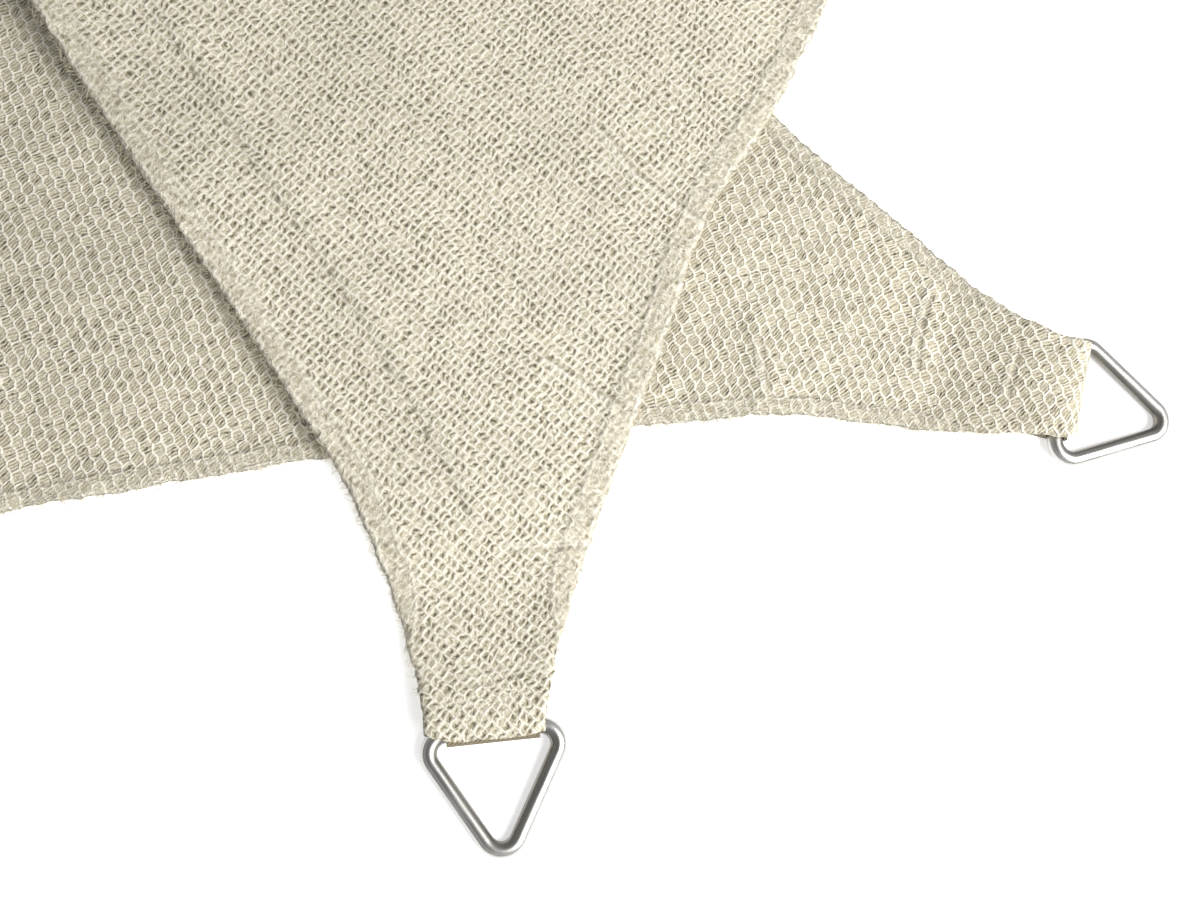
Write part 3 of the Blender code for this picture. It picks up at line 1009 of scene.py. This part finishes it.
# How far the chains drift from straight lines, in pitches, and how often to the metre
DRIFT = 0.9
DRIFT_SCALE = 40.0

# How often the forms of the hems, the seams and the tape change, to the metre
HEM_WAVER = 160.0
HEM_TWIST = 420.0
HEM_TANGLE = 800.0
STITCHES = 330.0
SEAM_WAVER = 90.0
SEAM_DEPTHS = 170.0
SEAM_HOLES = 210.0
TAPE_ROWS = 4200.0
TAPE_RIBS = 7000.0

# The two sides of the knit. Its pitches across and along the chains, wale and course, its relief,
# bump, and the place along the chains of the band of painted shade are in metres. The other values
# are shares, and strokes counts the strands of a cell.
Knit = namedtuple(
    "Knit",
    "hem bump wale course sway slant tilt chain chain_least chain_mix strokes strand gap gap_least"
    " slots slot_long slot_wide window dim soiled soiled_at",
)
FACE = Knit(
    hem=0.42, bump=0.00040, wale=0.00325, course=0.0041, sway=0.11, slant=0.20, tilt=0.45,
    chain=0.085, chain_least=0.40, chain_mix=0.95, strokes=4.0, strand=0.35, gap=0.66,
    gap_least=0.25, slots=(0.62, 1.05), slot_long=0.22, slot_wide=0.36, window=0.52, dim=0.94,
    soiled=0.12, soiled_at=-0.30,
)
BACK = Knit(
    hem=0.60, bump=0.00022, wale=0.00292, course=0.0041, sway=0.07, slant=0.00, tilt=0.20,
    chain=0.085, chain_least=0.20, chain_mix=0.80, strokes=2.0, strand=0.90, gap=0.70,
    gap_least=0.35, slots=(-0.30, 0.80), slot_long=0.24, slot_wide=0.16, window=0.24, dim=0.87,
    soiled=0.22, soiled_at=-0.44,
)


def chain_lines(n, knit, u, v, across, side):
    """How much of a chain lies here, and how far the nearest of the two beside this place is."""
    wobble = n.spread(n.noise(n.vector(u, v), 1.3, 2.0), 0.26)
    zigzag = n.sub(n.mul(n.math("PINGPONG", v, 0.5), 4.0), 1.0)
    swing = n.mul(n.mul(side, zigzag), knit.sway)
    left = n.absolute(n.add(n.sub(across, swing), wobble))
    right = n.absolute(n.sub(n.sub(n.sub(1.0, swing), across), wobble))
    distance = n.math("MINIMUM", left, right)
    strength = n.noise(n.vector(u, n.mul(v, 2.0), 7.0), 1.0, 2.0)
    width = n.mul(n.add(strength, 0.5), knit.chain)
    chain = n.between(distance, n.mul(width, 0.4), n.mul(width, 2.0), 1.0, 0.0)
    return n.mul(chain, n.between(strength, 0.32, 0.58, knit.chain_least, 1.0)), distance


def knit_pattern(n, knit, x, y):
    """The open knit's colour and height, and how much of a chain or link lies here."""
    drift = n.noise(n.vector(x, y), DRIFT_SCALE, 1.0)
    drift_along = n.noise(n.vector(y, x, 3.0), DRIFT_SCALE, 1.0)
    u = n.add(n.mul(x, 1 / knit.wale), n.mul(drift, DRIFT))
    v = n.add(n.mul(y, 1 / knit.course), n.mul(drift_along, DRIFT))
    column = n.floor(u)
    across = n.sub(u, column)
    side = n.sub(1.0, n.mul(n.math("FLOORED_MODULO", column, 2.0), 2.0))
    chain, chain_distance = chain_lines(n, knit, u, v, across, side)
    # Cells staggered from column to column, each closed by a thin link
    level = n.add(n.add(v, 0.25), n.mul(side, 0.25))
    cell = n.white(n.vector(column, n.floor(level), 1.0))
    tilt = n.add(knit.slant, n.spread(cell, knit.tilt))
    row = n.add(level, n.spread(across, tilt))
    link_chance = n.white(n.vector(column, n.floor(row), 5.0))
    link = n.between(n.math("PINGPONG", row, 0.5), 0.03, 0.13, 1.0, 0.0)
    link = n.mul(link, n.between(link_chance, 0.0, 0.7, 0.35, 1.0))
    # Thin strands across each cell, and the gaps between them, darkened as painted shade
    stir = n.noise(n.vector(n.mul(u, 1.3), n.mul(v, 1.2), 11.0), 1.0, 2.0)
    phase = n.add(n.mul(row, knit.strokes), n.mul(stir, 1.8))
    stroke = n.floor(phase)
    off = n.absolute(n.sub(n.sub(phase, stroke), 0.5))
    gap_tone = n.white(n.vector(column, stroke, 2.0))
    gap = n.between(off, 0.10, 0.42, 1.0, 0.0)
    gap = n.mul(gap, n.between(gap_tone, 0.0, 1.0, knit.gap_least, 1.0))
    inside = n.between(chain_distance, 0.05, 0.26)
    window = n.mul(n.between(cell, 0.0, 1.0, 0.55, 1.0), inside)
    # Single fibres and flecks
    fine = n.noise(n.vector(n.mul(u, 1.6), n.mul(row, 13.0), cell), 1.0, 2.0, 0.6)
    fleck = n.noise(n.vector(u, v, 15.0), 5.0, 2.0, 0.6)
    lit = n.sub(1.0, n.add(n.mul(gap, knit.gap), n.mul(window, knit.window)))
    lit = n.between(n.add(lit, n.add(n.spread(fine, 2.2), n.spread(fleck, 1.7))), -0.10, 1.10)
    strand = n.mul(n.between(off, 0.32, 0.46), n.between(fleck, 0.35, 0.60, 0.3, knit.strand))
    # The deep slots in some of the gaps, painted dark as shade
    slot_middle = n.between(n.white(n.vector(column, stroke, 3.0)), 0.0, 1.0, 0.40, 0.70)
    along_slot = n.mul(n.sub(across, slot_middle), 1 / knit.slot_long)
    across_slot = n.mul(off, 1 / knit.slot_wide)
    reach = n.add(n.mul(along_slot, along_slot), n.mul(across_slot, across_slot))
    slots = n.mul(n.between(reach, 0.28, 1.05, 1.0, 0.0), n.between(gap_tone, *knit.slots))
    bright = n.largest(chain, n.mul(link, 0.90))
    colour = n.mix(lit, FIBRE_COLOUR, LIGHT_FIBRE_COLOUR)
    colour = n.mix(strand, colour, CHAIN_COLOUR)
    colour = n.mix(n.mul(slots, 0.92), colour, GAP_SHADE_COLOUR)
    colour = n.mix(n.mul(bright, knit.chain_mix), colour, CHAIN_COLOUR)
    height = n.add(n.mul(bright, 0.9), n.add(n.mul(lit, 0.35), n.mul(strand, 0.5)))
    return colour, n.sub(height, n.mul(slots, 0.9)), bright


def hem_pattern(n):
    """The hem's band, colour, height and stitches: crumpled fibres between two cords."""
    share, along = n.coordinates("edge")
    waver = n.noise(n.vector(n.mul(along, HEM_WAVER), share), 1.0, 2.0)
    share = n.add(share, n.spread(waver, 0.35))
    band = n.between(share, 0.80, 1.10, 1.0, 0.0)
    twist = n.add(n.mul(along, HEM_TWIST), n.mul(share, 1.1))
    crumple = n.noise(n.vector(twist, n.mul(share, 3.6), 2.0), 1.0, 2.0, 0.6, 0.8)
    tangle = n.vector(n.mul(along, HEM_TANGLE), n.mul(share, 3.4), 6.0)
    tangle = n.noise(tangle, 1.0, 2.0, 0.6, 0.5)
    cords = n.largest(n.line(share, 0.12, 0.02, 0.13), n.line(share, 0.88, 0.02, 0.12))
    cords = n.mul(cords, n.between(crumple, 0.30, 0.62, 0.15, 1.0))
    thread = n.largest(n.line(crumple, 0.5, 0.0, 0.035), n.between(tangle, 0.53, 0.62))
    colour = n.mix(n.between(crumple, 0.36, 0.64), HEM_COLOUR, LIGHT_FIBRE_COLOUR)
    colour = n.mix(n.between(tangle, 0.33, 0.45, 0.90, 0.0), colour, FIBRE_COLOUR)
    colour = n.mix(n.mul(n.largest(cords, thread), 0.85), colour, CHAIN_COLOUR)
    height = n.add(n.mul(crumple, 0.9), n.add(n.mul(cords, 1.2), n.mul(thread, 0.5)))
    stitch_chance = n.between(n.noise(n.vector(along, 0.0, 4.0), STITCHES, 1.0), 0.42, 0.52)
    stitches = n.mul(n.mul(n.line(share, 1.06, 0.03, 0.13), stitch_chance), 0.35)
    return band, colour, height, stitches


def seam_pattern(n):
    """The groove and holes of the sail's seams, painted as shade, and the ridge beside, a painted
    highlight.
    """
    off, along = n.coordinates("seam")
    depth, hole_share = n.coordinates("mark")
    off = n.add(off, n.spread(n.noise(n.vector(along, 1.0), SEAM_WAVER), 0.002))
    uneven = n.noise(n.vector(along, 2.0), SEAM_DEPTHS, 2.0)
    depth = n.mul(depth, n.between(uneven, 0.35, 0.60, 0.45, 1.0))
    groove = n.mul(n.line(off, 0.0, 0.0002, 0.0012), depth)
    ridge = n.mul(n.line(off, 0.0018, 0.0004, 0.0015), depth)
    hole_chance = n.noise(n.vector(along, 0.0, 9.0), SEAM_HOLES, 2.0)
    hole_chance = n.between(hole_chance, 0.50, 0.60)
    holes = n.mul(n.mul(n.line(off, 0.0, 0.0003, 0.0010), hole_chance), hole_share)
    return groove, ridge, holes


def knit_material(name, knit):
    """One side of the warp knit, with its hem, its seams, and a band of painted shade across it.
    """
    n = Nodes(bpy.data.materials.new(name))
    x, y = n.coordinates("knit")
    colour, height, bright = knit_pattern(n, knit, x, y)
    band, hem, hem_height, stitches = hem_pattern(n)
    groove, ridge, holes = seam_pattern(n)
    holes = n.largest(holes, stitches)
    colour = n.mix(n.mul(band, knit.hem), colour, hem)
    # The seams' ridges get a painted highlight and their grooves painted shade
    colour = n.mix(n.mul(ridge, 0.45), colour, CHAIN_COLOUR)
    colour = n.mix(n.mul(groove, 0.45), colour, FIBRE_COLOUR)
    # Painted shade in the seams' holes and the hem's stitch holes
    colour = n.mix(n.mul(holes, 0.55), colour, GAP_SHADE_COLOUR)
    broad = n.noise(n.vector(x, y), 22.0, 2.0)
    shade = n.between(broad, 0.25, 0.75, 0.93 * knit.dim, 1.05 * knit.dim)
    # A band of painted shade across the knit, darker by this share, stands in for the lamp's
    # fall-off
    from_painted_shade = n.absolute(n.sub(y, knit.soiled_at))
    shade = n.mul(shade, n.between(from_painted_shade, 0.04, 0.22, 1.0 - knit.soiled, 1.0))
    n.give("Base Color", n.scaled(colour, shade))
    height = n.add(n.mul(height, n.sub(1.0, n.mul(band, 0.35))), n.mul(hem_height, band))
    height = n.sub(height, n.add(n.mul(holes, 0.8), n.mul(n.sub(groove, ridge), 1.3)))
    n.give("Normal", n.bump(height, knit.bump, 0.9))
    n.give("Roughness", n.between(bright, 0.0, 1.0, 0.85, 0.55))
    n.give("Sheen Weight", 0.1)
    n.give("Sheen Roughness", 0.5)
    return n.owner


def fibre_material():
    """The loose fibres' plain, pale material."""
    n = Nodes(bpy.data.materials.new("loose_fibre"))
    n.give("Base Color", LOOSE_FIBRE_COLOUR)
    n.give("Roughness", 0.7)
    return n.owner


def steel_material():
    """Polished steel, a little rougher and with a painted dark reflection on the sides that face
    the ring's middle.
    """
    n = Nodes(bpy.data.materials.new("polished_steel"))
    texture = n.node("TexCoord")
    place = texture.outputs["Object"]
    middle = (-RING_HEIGHT / 3, 0.0, 0.0)
    inward = n.vector_math("NORMALIZE", n.vector_math("SUBTRACT", middle, place))
    facing = n.vector_math("DOT_PRODUCT", inward, texture.outputs["Normal"])
    smudge = n.noise(place, 90.0, 3.0)
    scratches = n.noise(place, 900.0, 2.0)
    # The sides facing the ring's middle get a painted dark reflection, and a little more roughness
    dark_reflection_band = n.between(n.add(facing, n.spread(smudge, 0.5)), -0.30, 0.45)
    roughness = n.between(smudge, 0.3, 0.7, 0.25, 0.35)
    n.give("Roughness", n.add(roughness, n.mul(dark_reflection_band, 0.08)))
    colour = n.mix(smudge, *STEEL_COLOURS)
    colour = n.mix(n.mul(dark_reflection_band, 0.85), colour, DARK_REFLECTION_COLOUR)
    n.give("Base Color", colour)
    n.give("Normal", n.bump(scratches, 0.00002, 0.4))
    n.give("Metallic", 1.0)
    return n.owner


def tape_material():
    """A woven tape: ribs across each other, pale on top, with painted shade between them."""
    n = Nodes(bpy.data.materials.new("woven_tape"))
    x, y, z = n.split(n.node("TexCoord").outputs["Object"])
    rows = n.math("SINE", n.mul(n.add(x, y), TAPE_ROWS))
    ribs = n.math("SINE", n.mul(z, TAPE_RIBS))
    weave = n.between(n.mul(rows, ribs), -1.0, 1.0)
    n.give("Base Color", n.mix(weave, *TAPE_COLOURS))
    n.give("Normal", n.bump(weave, 0.0001, 0.6))
    n.give("Roughness", 0.85)
    return n.owner


# ---- the stage


def make_floor():
    """A wide pale floor that glows a little, so that the shadows on it fade."""
    mesh = bpy.data.meshes.new("floor")
    signs = ((-1, -1), (1, -1), (1, 1), (-1, 1))
    spots = [(FLOOR_REACH * x, FLOOR_REACH * y, 0) for x, y in signs]
    mesh.from_pydata(spots, [], [(0, 1, 2, 3)])
    floor = placed("floor", mesh)
    n = Nodes(bpy.data.materials.new("pale_floor"))
    n.give("Base Color", (0.95, 0.95, 0.95, 1.0))
    n.give("Emission Color", (1.0, 1.0, 1.0, 1.0))
    n.give("Emission Strength", FLOOR_GLOW)
    n.give("Roughness", 0.9)
    n.give("Specular IOR Level", 0.1)
    mesh.materials.append(n.owner)
    floor.location.z = -FLOOR_BELOW


def make_light(target):
    """A square lamp, high on the bright side."""
    light = bpy.data.lights.new("key", "AREA")
    light.energy = LAMP_ENERGY
    light.size = LAMP_SIZE
    lamp = placed("key", light)
    lamp.location = target + Vector(LAMP_WAY)
    lamp.rotation_euler = (target - lamp.location).to_track_quat("-Z", "Y").to_euler()


def make_world():
    """A plain studio, brightest on one side, greyer above and dim close to the horizon."""
    bpy.context.scene.view_settings.view_transform = "Standard"
    world = bpy.data.worlds.new("studio")
    bpy.context.scene.world = world
    n = Nodes(world, "Background")
    place = n.node("TexCoord").outputs["Generated"]
    ramp = n.node("ValToRGB", n.split(place)[2])
    stops = ramp.color_ramp.elements
    while len(stops) < len(SKY_STOPS):
        stops.new(0.5)
    for stop, (height, grey) in zip(stops, SKY_STOPS):
        stop.position = height
        stop.color = (grey, grey, grey, 1.0)
    facing = n.vector_math("DOT_PRODUCT", place, BRIGHT_SIDE)
    low, high = (share * SKY_STRENGTH for share in SKY_SHARES)
    n.give("Color", ramp.outputs[0])
    n.give("Strength", n.node("MapRange", facing, *SKY_FACING, low, high).outputs[0])


def make_camera(shift):
    """The camera looks steeply down, from the lower left of the photographed part."""
    target = Vector((CAMERA_TARGET.real + shift.x, CAMERA_TARGET.imag + shift.y, 0.0))
    side = direction(CAMERA_SIDE)
    sine = math.sin(math.radians(CAMERA_TILT))
    cosine = math.cos(math.radians(CAMERA_TILT))
    spot = target + CAMERA_DISTANCE * Vector((side.real * sine, side.imag * sine, cosine))
    forward = (target - spot).normalized()
    right = Vector((1, 0, 0)) - forward.x * forward
    right.normalize()
    up = right.cross(forward)
    data = bpy.data.cameras.new("camera")
    data.lens = CAMERA_LENS
    data.sensor_width = CAMERA_SENSOR
    data.clip_start = 0.01
    data.clip_end = 50.0
    camera = placed("camera", data)
    turned = Matrix((right, up, -forward)).transposed().to_4x4()
    turned.translation = spot
    camera.matrix_world = turned
    bpy.context.scene.camera = camera
    return target


def plan_shift():
    """How far the model lies from the plan, found from ring a, which both have."""
    low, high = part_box("ring_a")
    centre, inward = corner_place(CORNERS["a"])
    spots = []
    for spot in ring_line():
        tilted = complex(spot.real * math.cos(RING_TILT), spot.imag)
        spots.append(centre + tilted * cmath.rect(1, inward))
    x = (min(s.real for s in spots) + max(s.real for s in spots)) / 2
    y = (min(s.imag for s in spots) + max(s.imag for s in spots)) / 2
    return Vector(((low[0] + high[0]) / 2 - x, (low[1] + high[1]) / 2 - y, 0.0))


def main():
    """Builds the scene around the frame's model."""
    shift = plan_shift()
    target = make_camera(shift)
    face = knit_material("knit_face", FACE)
    back = knit_material("knit_back", BACK)
    sheet = make_sheet("sail_sheet", [face, back])
    sheet.data.transform(Matrix.Translation(shift))
    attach(sheet, "root")
    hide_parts("sail_cloth")
    fibres = make_fibres("edge_fibres", fibre_material())
    fibres.data.transform(Matrix.Translation(shift))
    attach(fibres, "root")
    steel = steel_material()
    tape = tape_material()
    for corner in CORNERS.values():
        ring = make_ring(corner, shift, steel)
        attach(ring, "root")
        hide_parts("ring_" + corner.name)
        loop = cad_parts["corner_loop_" + corner.name]
        for slot in loop.material_slots:
            slot.material = tape
    make_floor()
    make_light(target)
    make_world()


main()
